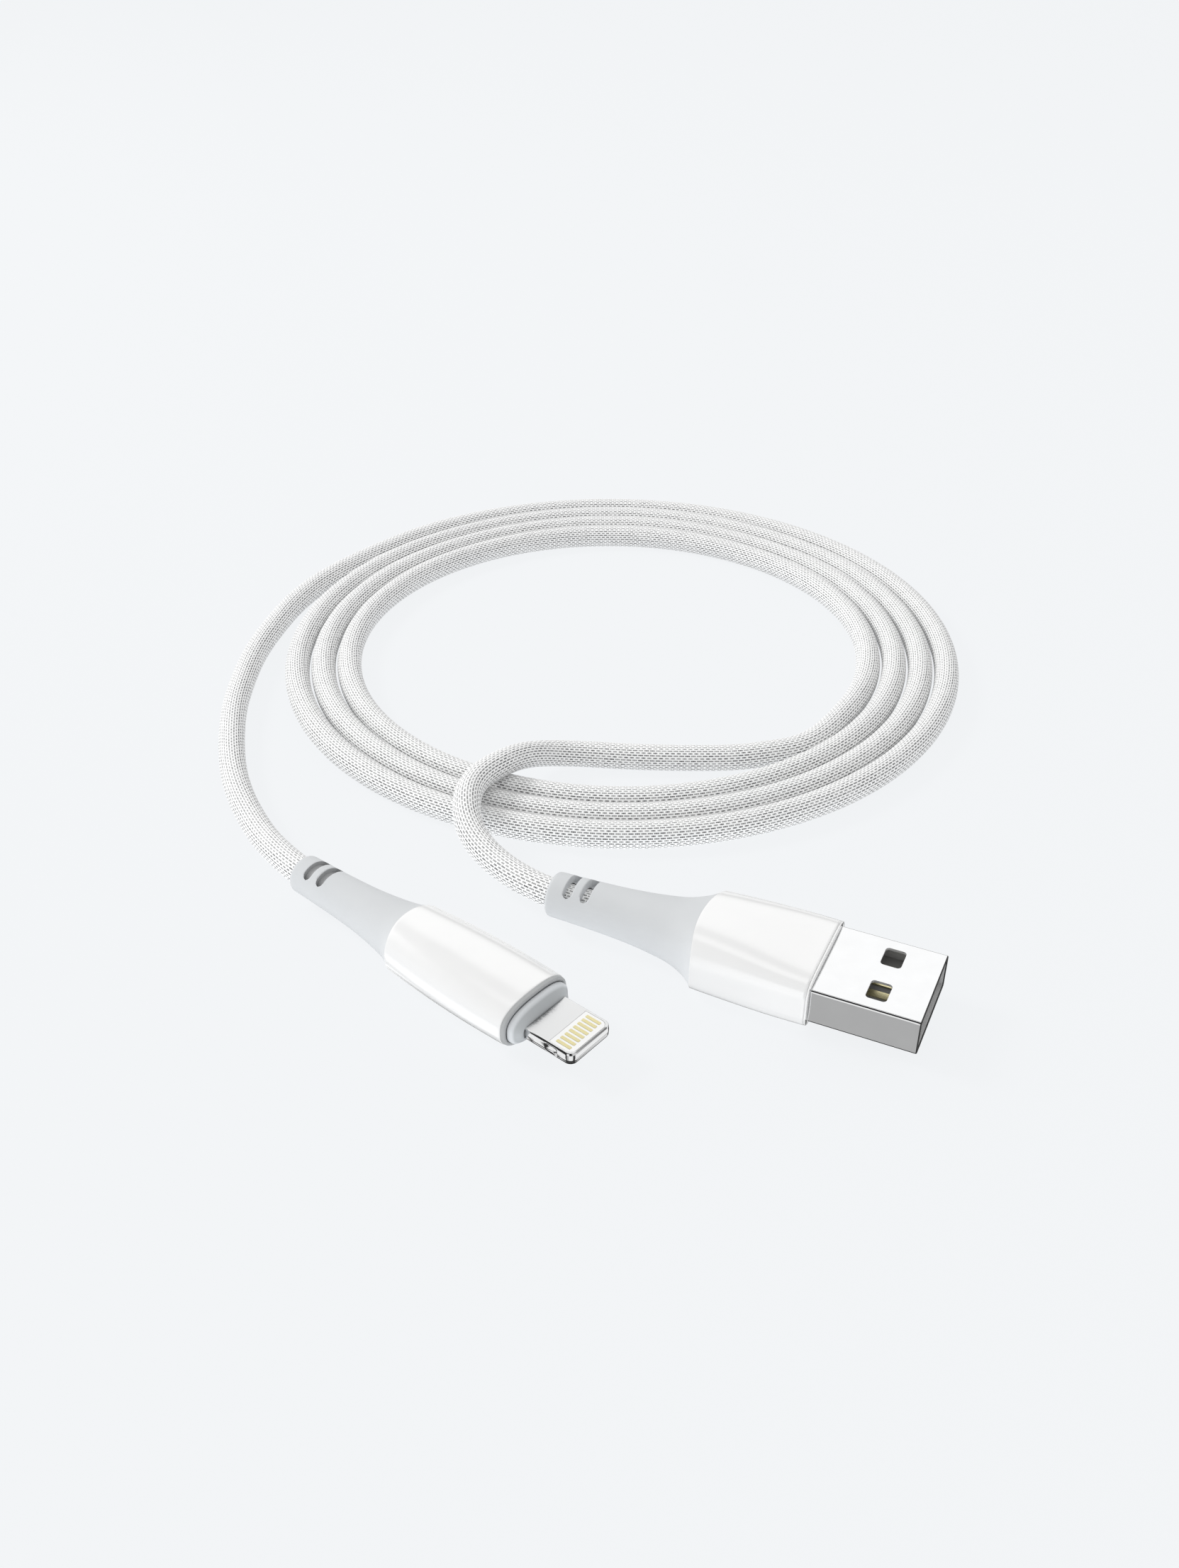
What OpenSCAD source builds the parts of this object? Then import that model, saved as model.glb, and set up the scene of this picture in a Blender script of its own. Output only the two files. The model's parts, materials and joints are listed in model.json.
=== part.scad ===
// Charging cable: a braided cord wound in a flat coil, with a USB-A plug on one
// end and a flat reversible 8-contact phone plug on the other.
// Millimetres, +Z up, the cable lies on the plane z = 0, and the origin is the
// middle of the two plugs' footprint.

/* [Cord] */
// Diameter of the braided cord
cord_d = 3.6; // [3.4:0.1:3.6]
// Distance between neighbouring turns of the coil
turn_pitch = 3.9; // [3.8:0.05:4.0]
// Radius of the coil where its first turn points along +X
coil_r = 38.8; // [38.4:0.1:39.2]

/* [USB plug] */
// Width of the steel shell, 12 in the USB-A standard
shell_w = 12; // [11.9:0.05:12.1]
// Height of the steel shell, 4.5 in the USB-A standard
shell_h = 4.5; // [4.4:0.05:4.6]
// Length of the steel shell that stands out of the housing
shell_l = 12.1; // [11.8:0.1:12.5]
// Thickness of the shell's sheet steel
sheet_t = 0.3; // [0.25:0.05:0.35]
// Length of the glossy housing
usb_housing_l = 13.6; // [13:0.1:15]
// Length of the soft strain relief
usb_relief_l = 19.9; // [18:0.1:22]
// Turn of the USB plug about +Z
usb_turn = -24.8; // [-30:0.1:-20]

/* [Phone plug] */
// Width of the metal tab
tab_w = 6.7; // [6.6:0.05:6.8]
// Thickness of the metal tab
tab_t = 1.5; // [1.45:0.05:1.55]
// Length of the tab that stands out of the collar
tab_l = 6.55; // [6.2:0.05:6.8]
// Length of the glossy housing
phone_housing_l = 18.2; // [17:0.1:20]
// Length of the soft strain relief
phone_relief_l = 19; // [18:0.1:21]
// Turn of the phone plug about +Z
phone_turn = -40.1; // [-45:0.1:-36]

/* [Hidden] */
$fn = 64;
cord_r = cord_d / 2;

// Places of the three groups; each plug's own X axis runs forward out of its front
usb_at = [24.4, -3.7];
usb_axis_h = 3.9;
phone_at = [-6.4, -10.4];
phone_axis_h = 3.5;
coil_at = [2.3, 74.4];

// The coil's turns run from coil_start to coil_end degrees, widening by one pitch a
// turn. Its solid is a flat ring between the mean radii of its first and last turns.
coil_start = -50;
coil_end = 1220;
coil_in = coil_r + turn_pitch * (coil_start + 180) / 360 - cord_r;
coil_out = coil_r + turn_pitch * (coil_end - 180) / 360 + cord_r;

// Route of the cord from the coil's inner end, over its turns, to the USB plug
usb_route = [
    [26.9, 45.1, 1.8], [23.4, 43.9, 1.8], [18.4, 42.9, 1.8], [13.3, 42.7, 1.8],
    [8.3, 42.8, 1.8], [3.3, 43.1, 1.8], [-1.7, 43.3, 2.0], [-6.7, 42.5, 2.7],
    [-10.7, 39.6, 4.2], [-13.8, 35.7, 5.3], [-16.0, 32.5, 5.6], [-17.0, 29.9, 5.6],
    [-17.3, 27.1, 5.5], [-17.1, 24.5, 5.0], [-16.4, 22.0, 4.5], [-14.8, 18.9, 4.1],
    [-12.6, 16.0, 3.9], [-9.6, 12.9, 3.9]
];
// Route of the cord from the coil's outer end to the phone plug
phone_route = [
    [-37.5, 107.8, 1.8], [-43.1, 101.0, 1.8], [-47.4, 94.0, 1.8], [-49.6, 88.5, 1.8],
    [-51.4, 81.5, 1.8], [-52.6, 75.0, 1.8], [-53.2, 69.0, 1.8], [-53.3, 63.0, 1.8],
    [-53.1, 57.0, 1.8], [-52.4, 51.0, 1.8], [-51.3, 45.0, 1.8], [-49.8, 39.0, 1.8],
    [-47.8, 33.5, 1.8], [-45.5, 28.6, 1.9], [-43.0, 24.0, 2.2], [-40.2, 19.6, 2.9]
];

// USB plug, measured along its axis from the housing's front
usb_seam = -usb_housing_l;
usb_rear = usb_seam - usb_relief_l;
shell_hidden = 5;
shell_corner = 0.45;
inner_w = shell_w - 2 * sheet_t;
inner_h = shell_h - 2 * sheet_t;
window_l = 2.35;
window_w = 3;
window_corner = 0.45;
window_x = 6.68;
window_y = 2.92;
tongue_t = 1.85;
tongue_back = -5.5;
tongue_front = shell_l - 0.7;
tongue_top = -inner_h / 2 + tongue_t;
contact_w = 1;
contact_t = 0.3;
contact_rise = 0.15;
contact_ys = [-3.5, -1, 1, 3.5];
contact_fronts = [10.4, 9.4, 9.4, 10.4];
contact_back = -7.2;
contact_low = tongue_top + contact_rise - contact_t;
usb_crimp_x = [usb_seam - 2.9, usb_seam - 0.6];

// Phone plug, measured along its axis from the collar's front face
collar_l = 1.4;
rim_l = 0.5;
phone_front = -collar_l - rim_l;
phone_seam = phone_front - phone_housing_l;
phone_rear = phone_seam - phone_relief_l;
tab_hidden = 4;
tab_corner = 1.3;
notch_x = 3.65;
notch_r = 1.93;
notch_deep = 0.25;
notch_h = 0.9;
insert_x = [3.15, 6.25];
insert_w = 5.9;
insert_corner = 1;
pin_count = 8;
pin_pitch = 0.68;
pin_w = 0.43;
pin_t = 0.25;
pin_x = [3.68, 5.65];
board_x = [-12.4, -4.3];
board_w = 5.8;
board_t = 0.6;
chip = [2.6, 3, 0.5];
shield_w = 7.2;
shield_h = 3.3;
shield_t = 0.2;
phone_crimp_x = [phone_seam - 3.9, phone_seam - 0.6];

// Clearances, and what both plugs share
gap = 0.01;
fit = 0.05;
crimp_wall = 0.25;
crimp_room = 0.2;
wire_r = 0.4;
wire_spots = [[-0.85, 0.5], [-0.45, -0.6], [0.45, -0.6], [0.85, 0.5]];
slot_l = 1.15;
slot_pitch = 2.2;
slot_first = 2.7;

// Sections of the moulded covers, inside and out: [x, half width, half height,
// squareness], where a squareness of 2 is an ellipse and a large one a rectangle
usb_housing_out = [
    [0, 6.9, 3.15, 5], [-0.35, 6.95, 3.2, 5], [-3, 6.95, 3.3, 4.6], [-6, 6.9, 3.5, 4.1],
    [-9, 6.8, 3.7, 3.6], [-12, 6.7, 3.85, 3.2], [usb_seam, 6.65, 3.9, 3]
];
shell_fit = [shell_w / 2 + fit, shell_h / 2 + fit];
usb_housing_in = [
    [0, shell_fit[0], shell_fit[1], 30], [-0.35, shell_fit[0], shell_fit[1], 30],
    [-3, shell_fit[0], shell_fit[1], 30], [-5.2, shell_fit[0], shell_fit[1], 30],
    [-9, 5.85, 2.75, 4], [-12, 5.75, 2.9, 3.6], [usb_seam, 5.6, 2.9, 3.2]
];
usb_relief_out = [
    [usb_seam, 6.6, 3.85, 3], [usb_seam - 0.7, 5.8, 3.7, 2.9],
    [usb_seam - 1.6, 5.1, 3.55, 2.8], [usb_seam - 3, 4.45, 3.35, 2.6],
    [usb_seam - 5.5, 3.8, 3.15, 2.4], [usb_seam - 9, 3.3, 2.95, 2.2],
    [usb_seam - 13, 2.98, 2.82, 2.1], [usb_rear + 0.7, 2.8, 2.75, 2],
    [usb_rear + 0.25, 2.72, 2.68, 2], [usb_rear, 2.45, 2.42, 2]
];
phone_housing_out = [
    [phone_front, 5.15, 2.85, 2.7], [phone_front - 0.4, 5.2, 2.9, 2.7],
    [phone_front - 4, 5.3, 3.1, 2.6], [phone_front - 9, 5.25, 3.3, 2.5],
    [phone_front - 14, 5.0, 3.45, 2.4], [phone_seam, 4.65, 3.5, 2.3]
];
phone_housing_in = [
    [phone_front, 4.3, 2.1, 3], [phone_front - 0.4, 4.3, 2.1, 3],
    [phone_front - 4, 4.35, 2.2, 3], [phone_front - 9, 4.35, 2.3, 3],
    [phone_front - 14, 4.1, 2.45, 2.6], [phone_seam, 3.75, 2.55, 2.4]
];
phone_relief_out = [
    [phone_seam, 4.6, 3.45, 2.3], [phone_seam - 0.8, 4.15, 3.3, 2.3],
    [phone_seam - 2, 3.75, 3.15, 2.25], [phone_seam - 4, 3.35, 3.0, 2.2],
    [phone_seam - 7, 2.95, 2.8, 2.1], [phone_seam - 11, 2.65, 2.6, 2.05],
    [phone_rear + 0.7, 2.45, 2.45, 2], [phone_rear + 0.25, 2.37, 2.37, 2],
    [phone_rear, 2.15, 2.15, 2]
];
collar_out = [
    [0, 3.9, 1.3, 2.7], [-0.2, 4.15, 1.65, 2.7], [-0.45, 4.33, 1.95, 2.7],
    [-0.7, 4.48, 2.18, 2.7], [-0.95, 4.6, 2.3, 2.7], [-collar_l, 4.66, 2.36, 2.7]
];
rim_out = [
    [-collar_l, 4.95, 2.65, 2.7], [-collar_l - 0.2, 5.1, 2.8, 2.7],
    [phone_front, 5.15, 2.85, 2.7]
];

// ---- shapes shared by the parts ----

function unit(v) = v / norm(v);
function power(v, e) = sign(v) * pow(abs(v), e);
function flat(lists) = [for (l = lists) for (v = l) v];
function reversed(faces) = [for (f = faces) [for (i = [len(f) - 1:-1:0]) f[i]]];

// One closed outline of a rounded section s in the plane x = s[0]
function outline(s, sides) = [
    for (i = [0:sides - 1])
        let (a = 360 * i / sides)
        [s[0], s[1] * power(cos(a), 2 / s[3]), s[2] * power(sin(a), 2 / s[3])]
];

// Quads between ring k and ring k + 1, out of rings of n points that start at base
function band(base, k, n) = [
    for (i = [0:n - 1])
        let (a = base + k * n + i, b = base + k * n + (i + 1) % n)
        [a, b, b + n, a + n]
];

// A sleeve with an outer and an inner surface through the same number of sections
module sleeve(outer, inner, sides = 48) {
    rings = len(outer);
    points = concat(
        flat([for (s = outer) outline(s, sides)]),
        flat([for (s = inner) outline(s, sides)])
    );
    base = rings * sides;
    last = base - sides;
    out_faces = flat([for (k = [0:rings - 2]) band(0, k, sides)]);
    in_faces = reversed(flat([for (k = [0:rings - 2]) band(base, k, sides)]));
    front = [
        for (i = [0:sides - 1])
            let (j = (i + 1) % sides)
            [i, base + i, base + j, j]
    ];
    back = [
        for (i = [0:sides - 1])
            let (j = (i + 1) % sides)
            [last + j, last + base + j, last + base + i, last + i]
    ];
    polyhedron(points, concat(out_faces, in_faces, front, back), convexity = 6);
}

// A closed tube whose rings stand on the route's own points
module tube(route, r, first, last, sides = 8) {
    n = len(route);
    heading = [
        for (i = [0:n - 1])
            i == 0 ? unit(first) : i == n - 1 ? unit(last) : unit(route[i + 1] - route[i - 1])
    ];
    points = flat([
        for (i = [0:n - 1])
            let (side = unit(cross([0, 0, 1], heading[i])), top = cross(heading[i], side))
            [for (k = [0:sides - 1])
                let (a = 360 * (k + 0.5) / sides)
                route[i] + r * (cos(a) * side + sin(a) * top)]
    ]);
    start_cap = [[for (k = [sides - 1:-1:0]) k]];
    end_cap = [[for (k = [0:sides - 1]) (n - 1) * sides + k]];
    walls = flat([for (k = [0:n - 2]) band(0, k, sides)]);
    polyhedron(points, concat(start_cap, walls, end_cap), convexity = 8);
}

// Stand the children on a plug's own axes
module on_usb() {
    translate([usb_at[0], usb_at[1], usb_axis_h]) rotate([0, 0, usb_turn]) children();
}
module on_phone() {
    translate([phone_at[0], phone_at[1], phone_axis_h]) rotate([0, 0, phone_turn]) children();
}

// A point on a plug's axis in the cable's own frame
function usb_point(x) = [
    usb_at[0] + x * cos(usb_turn), usb_at[1] + x * sin(usb_turn), usb_axis_h
];
function phone_point(x) = [
    phone_at[0] + x * cos(phone_turn), phone_at[1] + x * sin(phone_turn), phone_axis_h
];

// A rectangle with round corners, centred
module rounded(w, h, r) {
    square([w, h - 2 * r], center = true);
    square([w - 2 * r, h], center = true);
    for (y = [-1, 1], z = [-1, 1])
        translate([y * (w / 2 - r), z * (h / 2 - r)]) circle(r);
}

// A bar along X with rounded long edges, and a round one
module bar(x0, x1, w, h, r) {
    translate([x0, 0, 0]) rotate([90, 0, 90]) linear_extrude(x1 - x0) rounded(w, h, r);
}
module round_bar(x0, x1, r) {
    translate([x0, 0, 0]) rotate([0, 90, 0]) cylinder(h = x1 - x0, r = r);
}

// A flat blade of width w that ends at x = l in two round corners
module blade(x0, l, w, r) {
    translate([x0, -w / 2]) square([l - r - x0, w]);
    translate([x0, -w / 2 + r]) square([l - x0, w - 2 * r]);
    for (y = [-1, 1])
        translate([l - r, y * (w / 2 - r)]) circle(r);
}

// Bore of a strain relief: wide over the crimp, then a close fit on the cord
function bore_r(x, crimp_back) = cord_r + fit + (x > crimp_back ? crimp_wall : 0);
function relief_bore(sections, crimp_back) = [
    for (s = sections)
        [s[0], bore_r(s[0], crimp_back), bore_r(s[0], crimp_back), 2]
];

// Two cross slots above and below the cord, near the relief's end
module relief_slots(rear, r) {
    for (k = [0, 1], turn = [0, 180])
        translate([rear + slot_first + k * slot_pitch, 0, 0])
            rotate([turn, 0, 0])
            translate([-slot_l / 2, -0.8 * r, 0.6 * cord_r])
            cube([slot_l, 1.6 * r, r]);
}

// Metal ring closed on the cord
module crimp(xs) {
    difference() {
        round_bar(xs[0], xs[1], cord_r + crimp_wall);
        round_bar(xs[0] - 1, xs[1] + 1, cord_r + gap);
    }
}

// One insulated conductor from the cord's end to its solder joint
module wire(from, to, at_cord, at_joint) {
    run = to - from;
    tube([
        [from, at_cord[0], at_cord[1]],
        [from + 0.3 * run, 1.2 * at_cord[0], at_cord[1]],
        [from + 0.7 * run, at_joint[0], at_joint[1]],
        [to, at_joint[0], at_joint[1]]
    ], wire_r, [1, 0, 0], [1, 0, 0]);
}

// ---- USB plug ----

module usb_shell() color("silver") on_usb() difference() {
    bar(-shell_hidden, shell_l, shell_w, shell_h, shell_corner);
    bar(-shell_hidden - 1, shell_l + 1, inner_w, inner_h, shell_corner - sheet_t + fit);
    for (y = [-window_y, window_y])
        translate([window_x, y, 0])
            linear_extrude(shell_h + 1, center = true)
            rounded(window_l, window_w, window_corner);
}

module usb_tongue() color("dimgray") on_usb() difference() {
    bar(tongue_back, tongue_front, inner_w - 2 * fit, inner_h - fit, shell_corner - sheet_t);
    translate([0, -shell_w / 2, tongue_top]) cube([shell_l + 1, shell_w, inner_h]);
    for (y = contact_ys)
        translate([tongue_back - 1, y - contact_w / 2, contact_low])
            cube([shell_l - tongue_back + 2, contact_w, contact_t]);
}

module usb_contact(i) color("gold") on_usb()
    translate([contact_back, contact_ys[i] - contact_w / 2, contact_low])
    cube([contact_fronts[i] - contact_back, contact_w, contact_t]);

module usb_inner_mould() color("whitesmoke") on_usb() difference() {
    bar(usb_seam + 0.2, tongue_back - 0.3, 10.2, 4.6, 1.2);
    bar(usb_seam - 1, 0, 8.4, 3, 0.5);
}

module usb_housing() color("white") on_usb() sleeve(usb_housing_out, usb_housing_in);

module usb_strain_relief() color("lightgray") on_usb() difference() {
    sleeve(usb_relief_out, relief_bore(usb_relief_out, usb_crimp_x[0] - crimp_room));
    relief_slots(usb_rear, 2.8);
}

module usb_crimp() color("silver") on_usb() crimp(usb_crimp_x);

module usb_wire(i, c) color(c) on_usb() wire(
    usb_seam + 0.1, contact_back + 1.2, wire_spots[i],
    [contact_ys[i], contact_low + contact_t + wire_r + gap]
);

// ---- phone plug ----

module phone_tab() color("silver") on_phone() difference() {
    translate([0, 0, -tab_t / 2])
        linear_extrude(tab_t)
        blade(-tab_hidden, tab_l, tab_w, tab_corner);
    translate([0, 0, -tab_t])
        linear_extrude(2 * tab_t)
        blade(insert_x[0], insert_x[1], insert_w, insert_corner);
    for (y = [-1, 1])
        translate([notch_x, y * (tab_w / 2 + notch_r - notch_deep), -notch_h / 2])
            cylinder(h = notch_h, r = notch_r);
}

module phone_insert() color("white") on_phone() difference() {
    translate([0, 0, -tab_t / 2 + 2 * gap])
        linear_extrude(tab_t - 4 * gap)
        blade(insert_x[0] + gap, insert_x[1] - gap, insert_w - 2 * gap, insert_corner);
    pins(tab_t / 2 - pin_t - gap, 2 * pin_t);
    pins(-tab_t / 2 - pin_t + gap, 2 * pin_t);
}

// The row of contacts, from height z up
module pins(z, h) {
    for (i = [0:pin_count - 1])
        translate([pin_x[0], (i - (pin_count - 1) / 2) * pin_pitch - pin_w / 2, z])
            cube([pin_x[1] - pin_x[0], pin_w, h]);
}

module phone_contacts_top() color("gold") on_phone() pins(tab_t / 2 - pin_t - gap, pin_t);

module phone_contacts_bottom() color("gold") on_phone() pins(-tab_t / 2 + gap, pin_t);

module phone_board() color("darkgreen") on_phone()
    bar(board_x[0], board_x[1], board_w, board_t, 0.1);

module phone_chip() color("black") on_phone()
    translate([board_x[0] + 3.4, -chip[1] / 2, board_t / 2])
    cube(chip);

module phone_shield() color("silver") on_phone() difference() {
    bar(board_x[0] - 0.3, -tab_hidden - 0.1, shield_w, shield_h, 0.4);
    bar(board_x[0] - 1, 0, shield_w - 2 * shield_t, shield_h - 2 * shield_t, 0.2);
}

// The tab's slot in a ring whose sections are given
function tab_slot(sections) = [
    for (s = sections)
        [s[0], tab_w / 2 + fit, tab_t / 2 + fit, 30]
];

module phone_collar() color("darkgray") on_phone() sleeve(collar_out, tab_slot(collar_out));

module phone_rim() color("gray") on_phone() sleeve(rim_out, tab_slot(rim_out));

module phone_housing() color("white") on_phone() sleeve(phone_housing_out, phone_housing_in);

module phone_inner_mould() color("whitesmoke") on_phone() difference() {
    bar(phone_seam + 0.2, board_x[0] - 0.5, 6, 3.6, 1);
    bar(phone_seam - 1, 0, 4.6, 2.4, 0.4);
}

module phone_strain_relief() color("lightgray") on_phone() difference() {
    sleeve(phone_relief_out, relief_bore(phone_relief_out, phone_crimp_x[0] - crimp_room));
    relief_slots(phone_rear, 2.45);
}

module phone_crimp() color("silver") on_phone() crimp(phone_crimp_x);

module phone_wire(i, c) color(c) on_phone() wire(
    phone_seam + 0.1, board_x[0] + 1.4, wire_spots[i],
    [(i - 1.5) * 1.2, board_t / 2 + wire_r + gap]
);

// ---- cord ----

module cord_coil() color("white")
    translate([coil_at[0], coil_at[1], cord_r])
    rotate_extrude($fn = 180) {
        translate([coil_in + cord_r, -cord_r]) square([coil_out - coil_in - cord_d, cord_d]);
        for (r = [coil_in + cord_r, coil_out - cord_r]) translate([r, 0]) circle(cord_r);
    }

module cord_usb_end() color("white") tube(
    concat(usb_route, [usb_point(usb_rear), usb_point(usb_seam - 0.1)]),
    cord_r, usb_route[1] - usb_route[0], usb_point(0) - usb_point(-1)
);

module cord_phone_end() color("white") tube(
    concat(phone_route, [phone_point(phone_rear), phone_point(phone_seam - 0.1)]),
    cord_r, phone_route[1] - phone_route[0], phone_point(0) - phone_point(-1)
);

usb_shell();
usb_tongue();
usb_contact(0);  // usb_contact_power
usb_contact(1);  // usb_contact_data_minus
usb_contact(2);  // usb_contact_data_plus
usb_contact(3);  // usb_contact_ground
usb_inner_mould();
usb_housing();
usb_strain_relief();
usb_crimp();
usb_wire(0, "red");  // usb_wire_red
usb_wire(1, "white");  // usb_wire_white
usb_wire(2, "green");  // usb_wire_green
usb_wire(3, "black");  // usb_wire_black
phone_tab();
phone_insert();
phone_contacts_top();
phone_contacts_bottom();
phone_board();
phone_chip();
phone_shield();
phone_collar();
phone_rim();
phone_housing();
phone_inner_mould();
phone_strain_relief();
phone_crimp();
phone_wire(0, "red");  // phone_wire_red
phone_wire(1, "white");  // phone_wire_white
phone_wire(2, "green");  // phone_wire_green
phone_wire(3, "black");  // phone_wire_black
cord_coil();
cord_usb_end();
cord_phone_end();
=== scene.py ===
"""A braided charging cable that lies in a flat coil, with a USB-A plug and a phone plug."""

import json
import math

import bmesh
import bpy
import numpy as np
from mathutils import Matrix, Vector


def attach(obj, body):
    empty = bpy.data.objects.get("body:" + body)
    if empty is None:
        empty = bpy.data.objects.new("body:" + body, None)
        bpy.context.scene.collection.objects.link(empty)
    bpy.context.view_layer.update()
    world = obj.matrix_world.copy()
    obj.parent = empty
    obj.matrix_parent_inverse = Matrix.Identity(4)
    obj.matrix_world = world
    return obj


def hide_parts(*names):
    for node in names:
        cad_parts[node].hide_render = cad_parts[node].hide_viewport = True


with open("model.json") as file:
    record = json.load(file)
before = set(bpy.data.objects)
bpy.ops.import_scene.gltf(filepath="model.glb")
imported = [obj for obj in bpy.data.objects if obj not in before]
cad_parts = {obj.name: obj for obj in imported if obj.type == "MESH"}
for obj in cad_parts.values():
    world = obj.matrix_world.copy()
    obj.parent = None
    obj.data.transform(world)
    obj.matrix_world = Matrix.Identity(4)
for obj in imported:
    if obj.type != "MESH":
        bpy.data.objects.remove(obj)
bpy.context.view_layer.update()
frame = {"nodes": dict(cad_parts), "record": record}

MM = 0.001
RECORD = frame["record"]
NODES = frame["nodes"]

# ---- sizes, as in the CAD source, in millimetres ----

CORD_D = 3.6
CORD_R = CORD_D / 2
SHELL_W, SHELL_H, SHELL_L = 12.0, 4.5, 12.1
SHELL_HIDDEN = 5.0
SHEET_T = 0.3
USB_HOUSING_L = 13.6
USB_RELIEF_L = 19.9
TAB_W, TAB_T, TAB_L = 6.7, 1.5, 6.55
TAB_HIDDEN = 4.0
COLLAR_L = 1.4
RIM_L = 0.5
PHONE_HOUSING_L = 18.2
PHONE_RELIEF_L = 19.0

USB_SEAM = -USB_HOUSING_L
USB_REAR = USB_SEAM - USB_RELIEF_L
PHONE_FRONT = -COLLAR_L - RIM_L
PHONE_SEAM = PHONE_FRONT - PHONE_HOUSING_L
PHONE_REAR = PHONE_SEAM - PHONE_RELIEF_L


def plug_axes(mount_name, reach):
    """The plug's own axes in the frame: X forward, Z up, the origin `reach` mm behind the tip."""
    mount = next(m for m in RECORD["mounts"] if m["name"] == mount_name)
    forward = Vector(mount["axis"]).normalized()
    origin = Vector(mount["pos_m"]) - forward * reach * MM
    side = Vector((0, 0, 1)).cross(forward)
    turn = Matrix((forward, side, (0, 0, 1))).transposed()
    return Matrix.Translation(origin) @ turn.to_4x4()


USB_AXES = plug_axes("usb_plug", SHELL_L)
PHONE_AXES = plug_axes("phone_plug", TAB_L)

# ---- camera ----

# in metres and radians, and the lens in millimetres
CAMERA_AT = Vector((-0.0017, -0.1272, 0.1138))
CAMERA_DOWN = math.radians(34.404)
CAMERA_LENS = 33.99


def make_camera():
    """A camera in front of the plugs that looks down on the coil."""
    data = bpy.data.cameras.new("camera")
    data.lens = CAMERA_LENS
    data.sensor_width = 36
    data.clip_start = 0.005
    data.clip_end = 20
    camera = bpy.data.objects.new("camera", data)
    camera.location = CAMERA_AT
    camera.rotation_euler = (math.pi / 2 - CAMERA_DOWN, 0, 0)
    bpy.context.scene.collection.objects.link(camera)
    bpy.context.scene.camera = camera


make_camera()

# ---- node materials ----


class Graph:
    """A node tree being built: each method adds a node and returns its output."""

    def __init__(self, tree):
        """Start from an empty tree."""
        self.tree = tree
        tree.nodes.clear()

    def add(self, kind, inputs=None, output=0, **settings):
        """A node of a kind, with its inputs fed; the node itself if it has no outputs."""
        node = self.tree.nodes.new("ShaderNode" + kind)
        for key, value in settings.items():
            setattr(node, key, value)
        for key, value in (inputs or {}).items():
            self.feed(node.inputs[key], value)
        return node.outputs[output] if len(node.outputs) else node

    def feed(self, socket, value):
        """Link a socket to another one, or set its own value."""
        if isinstance(value, bpy.types.NodeSocket):
            self.tree.links.new(value, socket)
        elif isinstance(value, tuple) and len(value) == 3 and len(socket.default_value) == 4:
            socket.default_value = (*value, 1)
        else:
            socket.default_value = value

    def math(self, operation, a, b=0.0, c=0.0):
        """One arithmetic step."""
        return self.add("Math", {0: a, 1: b, 2: c}, operation=operation)

    def step(self, value, low, high, to_low=0.0, to_high=1.0):
        """A soft step from to_low to to_high as value goes from low to high."""
        inputs = {"Value": value, "From Min": low, "From Max": high}
        inputs |= {"To Min": to_low, "To Max": to_high}
        return self.add("MapRange", inputs, interpolation_type="SMOOTHSTEP")

    def ramp(self, value, stops):
        """Grey levels along value: stops are (position, level) pairs from 0 to 1."""
        node = self.add("ValToRGB", {0: value}).node
        band = node.color_ramp
        for position, level in stops[2:]:
            band.elements.new(position)
        for element, (position, level) in zip(band.elements, stops):
            element.position = position
            element.color = (level, level, level, 1)
        return node.outputs[0]

    def dot(self, a, b):
        """The cosine between two directions."""
        return self.add("VectorMath", {0: a, 1: b}, output="Value", operation="DOT_PRODUCT")

    def facing(self, direction, low, high):
        """1 where the surface faces a direction, 0 where it doesn't."""
        normal = self.add("NewGeometry", output="Normal")
        return self.step(self.dot(normal, direction), low, high)

    def on_plug(self, axes, scale=(1, 1, 1)):
        """A plug's own coordinates in millimetres."""
        here = self.add("TexCoord", output="Object")
        inputs = {
            "Vector": here,
            "Location": tuple(axes.translation),
            "Rotation": tuple(axes.to_euler()),
            "Scale": (MM, MM, MM),
        }
        own = self.add("Mapping", inputs, vector_type="TEXTURE")
        return self.add("Mapping", {"Vector": own, "Scale": scale})

    def mix(self, share, a, b):
        """a, going over to b as share goes from 0 to 1."""
        return self.add("Mix", {0: share, 6: a, 7: b}, output=2, data_type="RGBA")

    def place(self, scale=(1, 1, 1)):
        """Object coordinates in millimetres, stretched by scale."""
        here = self.add("TexCoord", output="Object")
        return self.add("Mapping", {"Vector": here, "Scale": tuple(s / MM for s in scale)})

    def noise(self, where, scale, detail=2.0, roughness=0.5):
        """Cloudy noise from 0 to 1."""
        inputs = {"Vector": where, "Scale": scale, "Detail": detail, "Roughness": roughness}
        return self.add("TexNoise", inputs, output="Fac")

    def bump(self, height, depth_mm):
        """A normal tilted by a height from 0 to 1, which stands for depth_mm."""
        return self.add("Bump", {"Height": height, "Distance": depth_mm * MM})


def new_material(name, build):
    """A Principled material: build(graph) returns the values of the shader's sockets."""
    material = bpy.data.materials.new(name)
    material.use_nodes = True
    graph = Graph(material.node_tree)
    shader = graph.add("BsdfPrincipled", build(graph))
    graph.add("OutputMaterial", {"Surface": shader})
    return material


BRAID_ROWS = 32
BRAID_PITCH = 0.79
UPPER_LEFT = (-0.42, 0.28, 0.86)


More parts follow.
